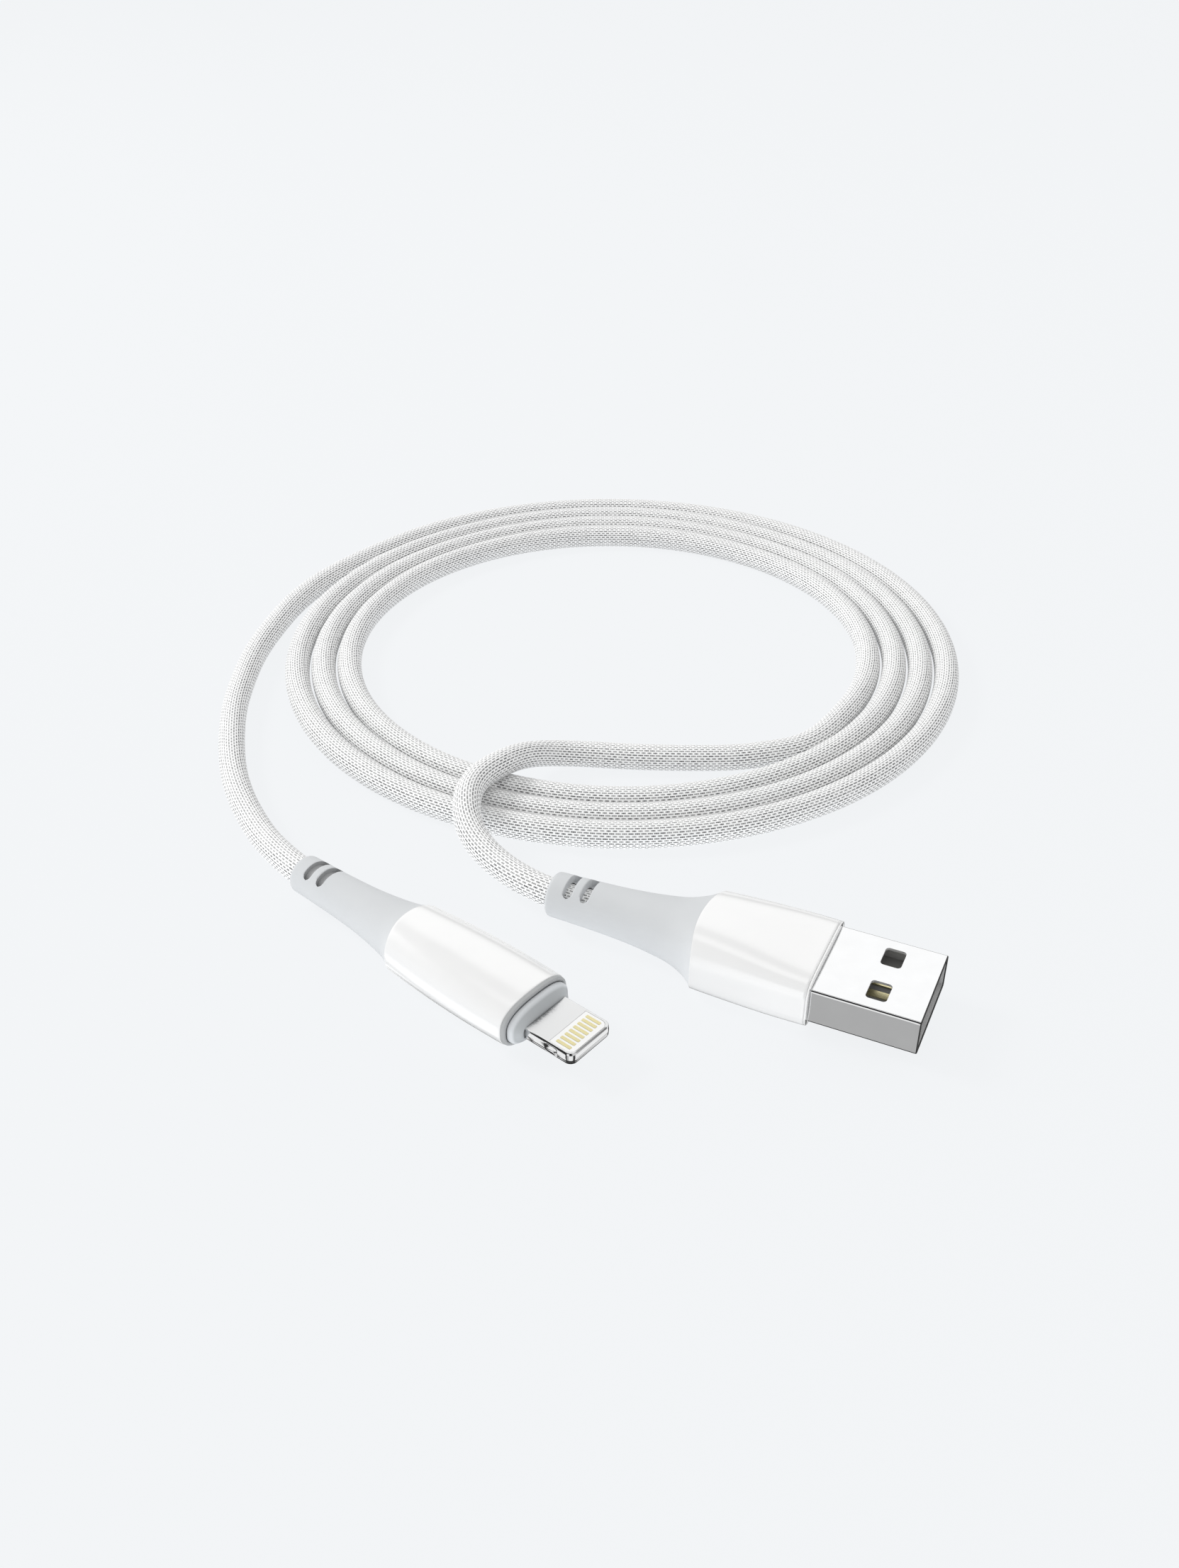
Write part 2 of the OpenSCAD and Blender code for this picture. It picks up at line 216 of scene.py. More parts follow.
def braid(g):
    """White yarn with dark gaps: a brick pattern of dashes along the cord. The gaps are the braid's own
    pattern, but their dark colour is painted shade of their depth, and that painted shade is faded on the
    side that faces the light.
    """
    here = g.add("SeparateXYZ", {0: g.add("UVMap", uv_map="braid")}).node
    along, across = here.outputs[0], here.outputs[1]
    row = g.math("FLOOR", across)
    odd = g.math("MODULO", row, 2.0)
    shifted = g.math("ADD", along, g.math("MULTIPLY", odd, 0.5))
    cell = g.math("FLOOR", shifted)
    u = g.math("SUBTRACT", g.math("FRACT", shifted), 0.5)
    v = g.math("SUBTRACT", g.math("FRACT", across), 0.5)
    half = g.math("SUBTRACT", 0.39, g.math("MULTIPLY", odd, 0.07))
    ends = g.step(g.math("SUBTRACT", g.math("ABSOLUTE", u), half), -0.06, 0.06, 1.0, 0.0)
    sides = g.step(g.math("ABSOLUTE", v), 0.15, 0.32, 1.0, 0.0)
    gap = g.math("MULTIPLY", ends, sides)
    ply = g.math("COSINE", g.math("MULTIPLY", u, 6 * math.pi))
    ply_shade = g.step(ply, -1.0, 0.4, 0.7, 1.0)
    key = g.add("CombineXYZ", {0: cell, 1: row})
    chance = g.add("TexWhiteNoise", {"Vector": key}, output="Value")
    depth = g.step(chance, 0.0, 1.0, 0.72, 1.0)
    # painted light: the gaps' painted shade is made up to 0.3 fainter where the surface faces the light
    # from the upper left
    lit_side_fade = g.math("SUBTRACT", 1.0, g.math("MULTIPLY", g.facing(UPPER_LEFT, 0.45, 1.0), 0.3))
    # painted shade: the gaps' near-black colour stands for the shade down in the gaps, on top of the sunk
    # mesh and the bump
    dark = g.math("MULTIPLY", g.math("MULTIPLY", gap, ply_shade), g.math("MULTIPLY", depth, lit_side_fade))
    where = g.place()
    tone = g.noise(where, 0.12)
    yarn = g.mix(tone, (0.94, 0.943, 0.946), (0.97, 0.97, 0.965))
    colour = g.mix(dark, yarn, (0.035, 0.037, 0.04))
    fibre = g.noise(where, 14.0, 3.0)
    height = g.math("ADD", g.math("SUBTRACT", 1.0, gap), g.math("MULTIPLY", fibre, 0.25))
    return {
        "Base Color": colour,
        "Roughness": g.step(fibre, 0.2, 0.8, 0.62, 0.82),
        "Specular IOR Level": 0.3,
        "Sheen Weight": 0.15,
        "Sheen Roughness": 0.5,
        "Normal": g.bump(height, 0.035),
    }


def gloss_white(g):
    """Moulded plastic under a clear gloss, with the faint waviness of a moulded skin."""
    where = g.place()
    wave = g.noise(where, 0.35)
    speck = g.noise(where, 6.0, 4.0)
    tone = g.mix(wave, (0.86, 0.86, 0.86), (0.885, 0.885, 0.882))
    return {
        "Base Color": tone,
        "Roughness": g.step(speck, 0.3, 0.7, 0.2, 0.27),
        "Specular IOR Level": 0.7,
        "Coat Weight": 1.0,
        "Coat IOR": 1.6,
        "Coat Roughness": 0.1,
        "Normal": g.bump(g.math("ADD", wave, g.math("MULTIPLY", speck, 0.05)), 0.02),
    }


def soft_grey(g):
    """Satin elastomer with a fine moulded grain."""
    where = g.place()
    grain = g.noise(where, 9.0, 3.0)
    cloud = g.noise(where, 0.25)
    tone = g.mix(cloud, (0.60, 0.615, 0.63), (0.635, 0.65, 0.662))
    return {
        "Base Color": tone,
        "Roughness": g.step(grain, 0.3, 0.7, 0.42, 0.55),
        "Specular IOR Level": 0.4,
        "Normal": g.bump(grain, 0.012),
    }


def metal(colour, rough, axes=None, grain=(1, 1, 1), depth=0.003):
    """Polished or brushed metal: grain stretches the fine scratches along the plug's axes."""
    def build(g):
        where = g.on_plug(axes or Matrix(), grain)
        scratch = g.noise(where, 5.0, 5.0, 0.65)
        smear = g.noise(g.place(), 0.5)
        dull = tuple(0.93 * c for c in colour)
        return {
            "Base Color": g.mix(smear, colour, dull),
            "Metallic": 1.0,
            "Roughness": g.step(scratch, 0.25, 0.75, rough * 0.8, rough * 1.25),
            "Normal": g.bump(scratch, depth),
        }
    return build


def plastic(colour, rough):
    """Plain moulded plastic with a light grain."""
    def build(g):
        where = g.place()
        fine = g.noise(where, 8.0, 3.0)
        shade = tuple(0.9 * c for c in colour)
        return {
            "Base Color": g.mix(g.noise(where, 0.6), colour, shade),
            "Roughness": g.step(fine, 0.3, 0.7, rough * 0.85, rough * 1.15),
            "Normal": g.bump(fine, 0.01),
        }
    return build


def collar(g):
    """Grey moulding with painted light and shade: a paler grey round its side and a darker grey on the
    crown that faces the tab.
    """
    own = g.on_plug(PHONE_AXES)
    x = g.add("SeparateXYZ", {0: own}).node.outputs[0]
    fine = g.noise(own, 8.0, 3.0)
    # painted shade on the crown and painted light on the side, by position along the plug
    crown = g.mix(g.noise(own, 0.6), (0.45, 0.47, 0.485), (0.49, 0.51, 0.52))
    return {
        "Base Color": g.mix(g.step(x, -0.80, -0.55), (0.68, 0.70, 0.72), crown),
        "Roughness": g.step(fine, 0.3, 0.7, 0.32, 0.42),
        "Normal": g.bump(fine, 0.01),
    }


def circuit_board(g):
    """Green solder mask with pale copper tracks under it."""
    where = g.place()
    waves = {"Vector": where, "Scale": 1.1, "Distortion": 6.0, "Detail": 1.0}
    tracks = g.add("TexWave", waves, output="Fac")
    track = g.step(tracks, 0.62, 0.7)
    return {
        "Base Color": g.mix(track, (0.02, 0.16, 0.06), (0.06, 0.30, 0.12)),
        "Roughness": 0.3,
        "Normal": g.bump(track, 0.02),
    }


BUILDERS = {
    "cord_braid": braid,
    "housing_white": gloss_white,
    "relief_grey": soft_grey,
    "plug_steel": metal((0.84, 0.845, 0.85), 0.08, USB_AXES, (0.3, 2, 2), 0.001),
    "tongue_black": plastic((0.31, 0.305, 0.30), 0.4),
    "contact_gold": metal((0.98, 0.90, 0.55), 0.3, USB_AXES, (1, 6, 1)),
    "tab_steel": metal((0.88, 0.885, 0.89), 0.06, PHONE_AXES, (0.5, 1, 1), 0.0005),
    "insert_white": plastic((0.93, 0.93, 0.925), 0.35),
    "pin_gold": metal((0.93, 0.84, 0.48), 0.34, PHONE_AXES, (1, 5, 1), 0.002),
    "collar_grey": collar,
    "rim_grey": plastic((0.42, 0.43, 0.435), 0.42),
    "inner_mould": plastic((0.8, 0.8, 0.76), 0.5),
    "crimp_metal": metal((0.62, 0.6, 0.56), 0.3, PHONE_AXES, (1, 5, 1)),
    "shield_steel": metal((0.7, 0.7, 0.71), 0.25, PHONE_AXES, (5, 1, 1)),
    "board_green": circuit_board,
    "chip_black": plastic((0.02, 0.02, 0.02), 0.5),
    "wire_red": plastic((0.6, 0.03, 0.025), 0.4),
    "wire_white": plastic((0.82, 0.82, 0.8), 0.4),
    "wire_green": plastic((0.02, 0.3, 0.07), 0.4),
    "wire_black": plastic((0.025, 0.025, 0.025), 0.4),
}
MATERIALS = {slot: new_material(slot, build) for slot, build in BUILDERS.items()}


def tab_face(g):
    """Satin nickel, darker in short streaks near where the tab meets the collar."""
    own = g.on_plug(PHONE_AXES)
    x, y = g.add("SeparateXYZ", {0: own}).node.outputs[:2]
    near = g.step(x, 0.0, 0.9, 1.0, 0.0)
    patch = g.step(g.math("ABSOLUTE", g.math("ADD", y, 0.6)), 1.2, 2.4, 1.0, 0.0)
    streak = g.noise(g.on_plug(PHONE_AXES, (1.6, 7.0, 1)), 1.4, 4.0, 0.6)
    # short dark streaks next to the collar, darker in colour and sunk in the bump
    near_collar_streaks = g.math("MULTIPLY", g.math("MULTIPLY", near, patch), g.step(streak, 0.42, 0.66))
    fine = g.noise(g.on_plug(PHONE_AXES, (1, 6, 1)), 5.0, 3.0)
    return {
        "Base Color": g.mix(near_collar_streaks, (0.86, 0.865, 0.865), (0.35, 0.35, 0.35)),
        "Metallic": 1.0,
        "Roughness": g.step(fine, 0.25, 0.75, 0.28, 0.34),
        "Normal": g.bump(g.math("ADD", fine, g.math("MULTIPLY", near_collar_streaks, -8.0)), 0.001),
    }


def cut_edge(g):
    """The dark, raw edge that shearing leaves on the sheet."""
    torn = g.noise(g.on_plug(USB_AXES, (8, 1, 1)), 3.0, 3.0)
    return {
        "Base Color": g.mix(torn, (0.02, 0.02, 0.02), (0.06, 0.06, 0.06)),
        "Metallic": 0.6,
        "Roughness": 0.5,
        "Normal": g.bump(torn, 0.005),
    }


def shell_inside(g):
    """The sheet's unpolished inner side."""
    fine = g.noise(g.on_plug(USB_AXES, (0.5, 3, 3)), 4.0, 3.0)
    return {
        "Base Color": g.mix(fine, (0.50, 0.50, 0.50), (0.58, 0.58, 0.58)),
        "Metallic": 0.2,
        "Roughness": 0.5,
        "Normal": g.bump(fine, 0.003),
    }


def slot_shade(g):
    """Painted shade for a moulded slot: a rougher, darker grey on its walls and floor that stands for the
    shade in the recess.
    """
    grain = g.noise(g.place(), 9.0, 3.0)
    return {
        # painted shade: darker grey where shade falls in the slot
        "Base Color": g.mix(grain, (0.36, 0.365, 0.37), (0.43, 0.435, 0.44)),
        "Roughness": 0.6,
        "Normal": g.bump(grain, 0.012),
    }


TAB_FACE = new_material("tab_face", tab_face)
SLOT_SHADE = new_material("slot_shade", slot_shade)
CUT_EDGE = new_material("cut_edge", cut_edge)
SHELL_INSIDE = new_material("shell_inside", shell_inside)

# ---- meshes ----


def make_piece(name, verts, faces, slot, node=None, matrix=None):
    """A mesh piece from points in millimetres, riding on the cable and standing for a CAD node."""
    mesh = bpy.data.meshes.new(name)
    mesh.from_pydata([tuple(v) for v in np.asarray(verts, float) * MM], [], [tuple(f) for f in faces])
    if matrix is not None:
        mesh.transform(matrix)
    mesh.update()
    mesh.shade_smooth()
    piece = bpy.data.objects.new(name, mesh)
    bpy.context.scene.collection.objects.link(piece)
    mesh.materials.append(MATERIALS[slot])
    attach(piece, "root")
    if node:
        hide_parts(node)
    return piece


def fix_normals(piece):
    """Turn every face of a closed piece outwards."""
    bm = bmesh.new()
    bm.from_mesh(piece.data)
    bmesh.ops.recalc_face_normals(bm, faces=bm.faces)
    bm.to_mesh(piece.data)
    bm.free()


def apply_modifiers(piece):
    """Bake the piece's modifiers into its mesh."""
    view = bpy.context.evaluated_depsgraph_get()
    mesh = bpy.data.meshes.new_from_object(piece.evaluated_get(view), depsgraph=view)
    piece.modifiers.clear()
    old = piece.data
    piece.data = mesh
    bpy.data.meshes.remove(old)


def cut(piece, cutters):
    """Take the cutters' shapes out of the piece, and remove them."""
    for cutter in cutters:
        boolean = piece.modifiers.new("cut", "BOOLEAN")
        boolean.operation = "DIFFERENCE"
        boolean.solver = "EXACT"
        boolean.object = cutter
    apply_modifiers(piece)
    for cutter in cutters:
        bpy.data.objects.remove(cutter)


def keep_flat(piece, area):
    """Shade the faces above an area, in square millimetres, flat, so that their edges stay crisp."""
    for face in piece.data.polygons:
        if face.area > area * MM * MM:
            face.use_smooth = False


def spread(points, count):
    """count points at equal spacing along an open line of points."""
    gaps = np.linalg.norm(np.diff(points, axis=0), axis=1)
    run = np.concatenate([[0], np.cumsum(gaps)])
    at = np.linspace(0, run[-1], count)
    return np.stack([np.interp(at, run, points[:, k]) for k in range(points.shape[1])], 1)


def superellipse(w, h, squareness, sides):
    """A closed rounded outline (y, z), evenly spaced and the same in all four quarters."""
    a = np.linspace(0, math.pi / 2, 400)
    curve = np.stack([w * np.cos(a) ** (2 / squareness), h * np.sin(a) ** (2 / squareness)], 1)
    quarter = spread(curve, sides // 4 + 1)
    turned = [quarter[:-1], (quarter * (-1, 1))[:0:-1], (-quarter)[:-1], (quarter * (1, -1))[:0:-1]]
    return np.concatenate(turned)


def spline(points, at=None, count=None):
    """A natural cubic spline through points, spaced by their distances.

    The first column of `points` is the parameter when `at` is given; otherwise `count`
    points are returned along the curve."""
    p = np.asarray(points, float)
    if at is not None:
        t, p = p[:, 0], p[:, 1:]
    else:
        t = np.concatenate([[0], np.cumsum(np.linalg.norm(np.diff(p, axis=0), axis=1))])
        at = np.linspace(0, t[-1], count)
    h = np.diff(t)
    n = len(t)
    left = np.eye(n)
    right = np.zeros_like(p)
    slope = np.diff(p, axis=0) / h[:, None]
    for i in range(1, n - 1):
        left[i, i - 1:i + 2] = h[i - 1], 2 * (h[i - 1] + h[i]), h[i]
        right[i] = 6 * (slope[i] - slope[i - 1])
    bend = np.linalg.solve(left, right)
    i = np.clip(np.searchsorted(t, at) - 1, 0, n - 2)
    a = (at - t[i])[:, None]
    b = (t[i + 1] - at)[:, None]
    g = h[i][:, None]
    curve = (bend[i] * b**3 + bend[i + 1] * a**3) / (6 * g)
    return curve + (p[i] / g - bend[i] * g / 6) * b + (p[i + 1] / g - bend[i + 1] * g / 6) * a


def strip(rings, sides, close=False):
    """Quads between rings of `sides` points; close also joins the last ring to the first."""
    faces = []
    for k in range(rings if close else rings - 1):
        low, high = k * sides, (k + 1) % rings * sides
        faces += [(low + i, low + (i + 1) % sides, high + (i + 1) % sides, high + i) for i in range(sides)]
    return faces


# the housing's front lip and the groove behind it: (distance back, depth)
LIP_W = 0.17
LIP_DIP = 0.09
LIP_GROOVE = ((0, 0), (0.01, LIP_DIP), (0.05, LIP_DIP), (0.07, 0))
ROUND_STEPS = 7


def cover_rings(sections, bore, front_r, rear_r, step, sides, groove=False):
    """Rings of a moulded cover: round its outside from front to rear, then back through its bore."""
    s = np.array(sections, float)[::-1]
    front, rear = s[-1, 0], s[0, 0]
    quarter = [(1 - math.sin(t), 1 - math.cos(t)) for t in np.linspace(0, math.pi / 2, ROUND_STEPS)]
    rounds_front = [(front - front_r * back, front_r * inset) for back, inset in quarter[::-1]]
    rounds_rear = [(rear + rear_r * ahead, rear_r * inset) for ahead, inset in quarter]
    middle_count = max(2, int((front - rear) / step))
    lip = [(front - LIP_W - back, depth) for back, depth in LIP_GROOVE]
    first = front - LIP_W - 0.1 if groove else front - front_r
    middle = [(x, 0.0) for x in np.linspace(first, rear + rear_r, middle_count)[1:-1]]
    stations = rounds_front + (lip if groove else []) + middle + rounds_rear
    xs = np.array([x for x, _ in stations])
    shape = spline(s, at=xs)
    rings = []
    for (x, inset), (w, h, squareness) in zip(stations, shape):
        outline = superellipse(w - inset, h - inset, squareness, sides)
        rings.append(np.column_stack([np.full(sides, x), outline]))
    for x, w, h, squareness in bore[::-1]:
        rings.append(np.column_stack([np.full(sides, x), superellipse(w, h, squareness, sides)]))
    return np.array(rings)


# ---- the cord ----

# Points from the CAD source, in metres: the coil's inner end to the USB plug
USB_ROUTE = [
    (0.0269, 0.0451, 0.0018), (0.0234, 0.0439, 0.0018), (0.0184, 0.0429, 0.0018),
    (0.0133, 0.0427, 0.0018), (0.0083, 0.0428, 0.0018), (0.0033, 0.0431, 0.0018),
    (-0.0017, 0.0433, 0.0020), (-0.0067, 0.0425, 0.0027), (-0.0107, 0.0396, 0.0042),
    (-0.0138, 0.0357, 0.0053), (-0.0160, 0.0325, 0.0056), (-0.0170, 0.0299, 0.0056),
    (-0.0173, 0.0271, 0.0055), (-0.0171, 0.0245, 0.0050), (-0.0164, 0.0220, 0.0045),
    (-0.0148, 0.0189, 0.0041), (-0.0126, 0.0160, 0.0039), (-0.0096, 0.0129, 0.0039),
]
# and the coil's outer end to the phone plug
PHONE_ROUTE = [
    (-0.0375, 0.1078, 0.0018), (-0.0431, 0.1010, 0.0018), (-0.0474, 0.0940, 0.0018),
    (-0.0496, 0.0885, 0.0018), (-0.0514, 0.0815, 0.0018), (-0.0526, 0.0750, 0.0018),
    (-0.0532, 0.0690, 0.0018), (-0.0533, 0.0630, 0.0018), (-0.0531, 0.0570, 0.0018),
    (-0.0524, 0.0510, 0.0018), (-0.0513, 0.0450, 0.0018), (-0.0498, 0.0390, 0.0018),
    (-0.0478, 0.0335, 0.0018), (-0.0455, 0.0286, 0.0019), (-0.0430, 0.0240, 0.0022),
    (-0.0402, 0.0196, 0.0029),
]
COIL_AT = Vector((0.0023, 0.0744))
COIL_R = 38.8 * MM
TURN_PITCH = 3.9 * MM
COIL_START, COIL_END, COIL_STEP = -50, 1220, 15  # degrees round the coil
CORD_SIDES = 64
RINGS_PER_DASH = 2
GAP_DEPTH = 0.045 * MM
SPLINE_POINTS = 12000
PATH_EVERY = 8


def coil_points():
    """The coil's turns between its two leads: a flat spiral."""
    points = []
    for degrees in range(COIL_START + COIL_STEP, COIL_END, COIL_STEP):
        a = math.radians(degrees)
        r = COIL_R + TURN_PITCH * degrees / 360
        points.append((COIL_AT.x + r * math.cos(a), COIL_AT.y + r * math.sin(a), CORD_R * MM))
    return points


def on_axis(axes, x):
    """The point x mm along a plug's axis."""
    return tuple(axes @ Vector((x * MM, 0, 0)))


cord_exit = on_axis(USB_AXES, USB_REAR)


def cord_points():
    """The whole route, from the USB plug's parting line to the phone plug's."""
    usb_inside = [on_axis(USB_AXES, USB_SEAM - 0.1), on_axis(USB_AXES, (USB_SEAM + USB_REAR) / 2)]
    phone_middle = on_axis(PHONE_AXES, (PHONE_SEAM + PHONE_REAR) / 2)
    phone_inside = [phone_middle, on_axis(PHONE_AXES, PHONE_SEAM - 0.1)]
    points = [*usb_inside, cord_exit, *USB_ROUTE[::-1], *coil_points()]
    return points + [*PHONE_ROUTE, on_axis(PHONE_AXES, PHONE_REAR), *phone_inside]


def braided_tube(centres):
    """Rings of points round a centre line, with dashes sunk between the yarns."""
    ahead = np.gradient(centres, axis=0)
    ahead /= np.linalg.norm(ahead, axis=1)[:, None]
    side = np.cross((0, 0, 1), ahead)
    side /= np.linalg.norm(side, axis=1)[:, None]
    up = np.cross(ahead, side)
    turn = 2 * math.pi * np.arange(CORD_SIDES) / CORD_SIDES
    out = side[:, None] * np.cos(turn)[:, None] + up[:, None] * np.sin(turn)[:, None]
    # the dashes are in every other column, brick-wise along the cord
    column = np.arange(CORD_SIDES)
    ring = np.arange(len(centres))[:, None]
    in_gap = (column % 2 == 1) & ((ring + column // 2) % RINGS_PER_DASH == 1)
    radius = CORD_R * MM - GAP_DEPTH * in_gap
    return (centres[:, None] + out * radius[:, :, None]).reshape(-1, 3)


def map_braid(cord, rings):
    """A UV map that counts the dashes along the cord and the rows round it."""
    layer = cord.data.uv_layers.new(name="braid")
    k = np.repeat(np.arange(rings - 1), CORD_SIDES)
    i = np.tile(np.arange(CORD_SIDES), rings - 1)
    along = np.stack([k, k, k + 1, k + 1], 1) / RINGS_PER_DASH
    across = np.stack([i, i + 1, i + 1, i], 1) * BRAID_ROWS / CORD_SIDES
    uv = np.zeros((len(cord.data.loops), 2), np.float32)
    uv[:4 * len(k)] = np.stack([along.ravel(), across.ravel()], 1)
    layer.data.foreach_set("uv", uv.ravel())


def make_cord():
    """One braided tube from plug to plug, with its centre line and its length in metres."""
    smooth = spline(cord_points(), count=SPLINE_POINTS)
    length = float(np.linalg.norm(np.diff(smooth, axis=0), axis=1).sum())
    dashes = round(length / (BRAID_PITCH * MM))
    rings = dashes * RINGS_PER_DASH + 1
    centres = spread(smooth, rings)
    faces = strip(rings, CORD_SIDES)
    faces.append(tuple(range(CORD_SIDES))[::-1])
    faces.append(tuple((rings - 1) * CORD_SIDES + i for i in range(CORD_SIDES)))
    cord = make_piece("braided_cord", braided_tube(centres) / MM, faces, "cord_braid")
    map_braid(cord, rings)
    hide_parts("cord_coil", "cord_usb_end", "cord_phone_end")
    path = centres[::PATH_EVERY].tolist() + [centres[-1].tolist()]
    return cord, path, length


cord, cord_path, cord_length = make_cord()

# ---- moulded covers ----

# [x, half width, half height, squareness], as in the CAD source
USB_HOUSING = [
    (0, 6.9, 3.15, 5), (-3, 6.95, 3.3, 4.6), (-6, 6.9, 3.5, 4.1),
    (-9, 6.8, 3.7, 3.6), (-12, 6.7, 3.85, 3.2), (USB_SEAM, 6.65, 3.9, 3),
]
USB_RELIEF = [
    (USB_SEAM, 6.6, 3.85, 3), (USB_SEAM - 0.7, 5.8, 3.7, 2.9), (USB_SEAM - 1.6, 5.1, 3.55, 2.8),
    (USB_SEAM - 3, 4.45, 3.35, 2.6), (USB_SEAM - 5.5, 3.8, 3.15, 2.4), (USB_SEAM - 9, 3.3, 2.95, 2.2),
    (USB_SEAM - 13, 2.98, 2.82, 2.1), (USB_REAR, 2.76, 2.72, 2),
]
PHONE_HOUSING = [
    (PHONE_FRONT, 5.2, 2.9, 2.7), (PHONE_FRONT - 4, 5.3, 3.1, 2.6), (PHONE_FRONT - 9, 5.25, 3.3, 2.5),
    (PHONE_FRONT - 14, 5.0, 3.45, 2.4), (PHONE_SEAM, 4.65, 3.5, 2.3),
]
PHONE_RELIEF = [
    (PHONE_SEAM, 4.6, 3.45, 2.3), (PHONE_SEAM - 0.8, 4.15, 3.3, 2.3), (PHONE_SEAM - 2, 3.75, 3.15, 2.25),
    (PHONE_SEAM - 4, 3.35, 3.0, 2.2), (PHONE_SEAM - 7, 2.95, 2.8, 2.1), (PHONE_SEAM - 11, 2.65, 2.6, 2.05),
    (PHONE_REAR, 2.4, 2.4, 2),
]
SIDES = 96
BORE_R = CORD_R + 0.05
MOULD_R, MOULD_L = 2.1, 4
USB_BULGE, PHONE_BULGE = 1.1, 0.8
SEAM_REACH = 6.0
# a relief's slots: two above and two below, from where the cord leaves it
SLOT_FIRST, SLOT_PITCH, SLOT_L = 2.7, 2.2, 1.15
SLOT_REACH = 0.80
SLOT_FLOOR = 0.6 * CORD_R
USB_SLOT_R, PHONE_SLOT_R = 2.8, 2.45
# a blind slot ends at a skin over the cord; the round bar that shapes it starts and ends this far
# ahead of where the cord leaves
SLOT_SKIN_R = BORE_R + 0.12
CORE_X = (1, 8)
CORE_SIDES = 48
SHADE_BAND = (-0.04, 0.38)


def bulge_seam(rings, seam, bulge):
    """Draw the parting line back at the middle of the top and bottom, and fade it away from the seam."""
    x, y, z = rings[..., 0], rings[..., 1], rings[..., 2]
    wide = np.abs(y).max(axis=1, keepdims=True)
    middle = np.clip(1 - (y / wide) ** 2, 0, 1) ** 1.2
    away = np.clip(np.abs(x - seam) / SEAM_REACH, 0, 1)
    x -= bulge * middle * (1 - away * away * (3 - 2 * away))


def make_cover(name, sections, bore, ends, slot, axes, seam=None, bulge=0.0, step=0.3, groove=False):
    """A moulded cover: ends are the radii of its front and rear edges."""
    rings = cover_rings(sections, bore, ends[0], ends[1], step, SIDES, groove)
    if seam is not None:
        bulge_seam(rings, seam, bulge)
    faces = strip(len(rings), SIDES, close=True)
    piece = make_piece(name, rings.reshape(-1, 3), faces, slot, matrix=axes)
    fix_normals(piece)
    return piece


def make_cutter(verts, faces, axes):
    """A helper shape in millimetres along a plug's axes; not a piece."""
    mesh = bpy.data.meshes.new("cutter")
    mesh.from_pydata([tuple(c * MM for c in v) for v in verts], [], faces)
    mesh.transform(axes)
    cutter = bpy.data.objects.new("cutter", mesh)
    bpy.context.scene.collection.objects.link(cutter)
    return cutter


def prism(outline, low, high, axes):
    """A closed prism of an outline (x, y), upright along Z."""
    n = len(outline)
    verts = [(*p, z) for z in (low, high) for p in outline]
    faces = strip(2, n) + [tuple(range(n))[::-1], tuple(range(n, 2 * n))]
    if high < low:
        faces = [f[::-1] for f in faces]
    return make_cutter(verts, faces, axes)


def slot_cutters(axes, rear, radius):
    """Four upright rounded bars: two slots above the cord and two below."""
    r = SLOT_L / 2
    half = SLOT_REACH * radius
    a = np.linspace(0, math.pi, 13)
    cap = np.stack([r * np.cos(a), half - r + r * np.sin(a)], 1)
    outline = np.concatenate([cap, -cap])
    places = [rear + SLOT_FIRST, rear + SLOT_FIRST + SLOT_PITCH]
    return [prism(outline + (x, 0), side * SLOT_FLOOR, side * (radius + 1), axes)
            for x in places for side in (1, -1)]


def round_core(axes, rear):
    """A round bar along the relief's axis, which leaves a skin over the cord under the slots."""
    turn = 2 * math.pi * np.arange(CORE_SIDES) / CORE_SIDES
    circle = np.stack([SLOT_SKIN_R * np.cos(turn), SLOT_SKIN_R * np.sin(turn)], 1)
    verts = [(rear + x, *p) for x in CORE_X for p in circle]
    faces = strip(2, CORE_SIDES) + [tuple(range(CORE_SIDES)), tuple(range(CORE_SIDES, 2 * CORE_SIDES))]
    core = make_cutter(verts, faces, axes)
    fix_normals(core)
    return core


def shade_slots(relief, axes, rear):
    """Give the walls and floors of the slots the darker material of painted shade."""
    relief.data.materials.append(SLOT_SHADE)
    to_own = axes.inverted()
    for face in relief.data.polygons:
        at = to_own @ face.center / MM
        near = rear + SLOT_FIRST - SLOT_L < at.x < rear + SLOT_FIRST + SLOT_PITCH + SLOT_L
        height = math.hypot(at.y, at.z) - SLOT_SKIN_R
        if near and SHADE_BAND[0] < height < SHADE_BAND[1]:
            face.material_index = 1


def cut_blind_slots(relief, axes, rear, radius):
    """Cut a relief's slots down to the skin over the cord."""
    bars = slot_cutters(axes, rear, radius)
    for bar in bars:
        cut(bar, [round_core(axes, rear)])
    cut(relief, bars)
    shade_slots(relief, axes, rear)


def relief_bore(seam, rear):
    """A relief's bore: wide over the inner mould, then close round the cord."""
    return [
        (seam, MOULD_R, MOULD_R, 2), (seam - MOULD_L, MOULD_R, MOULD_R, 2),
        (seam - MOULD_L - 1, BORE_R, BORE_R, 2), (rear, BORE_R, BORE_R, 2),
    ]


usb_housing = make_cover(
    "usb_plug_housing", USB_HOUSING,
    [(0, 6.05, 2.3, 30), (-5.2, 6.05, 2.3, 30), (-9, 5.85, 2.75, 4), (USB_SEAM, 5.6, 2.9, 3.2)],
    (0.05, 0.05), "housing_white", USB_AXES, USB_SEAM, USB_BULGE, groove=True,
)
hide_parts("usb_housing")
usb_relief = make_cover(
    "usb_plug_strain_relief", USB_RELIEF, relief_bore(USB_SEAM, USB_REAR),
    (0.04, 0.5), "relief_grey", USB_AXES, USB_SEAM, USB_BULGE,
)
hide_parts("usb_strain_relief")
cut(usb_relief, slot_cutters(USB_AXES, USB_REAR, USB_SLOT_R))

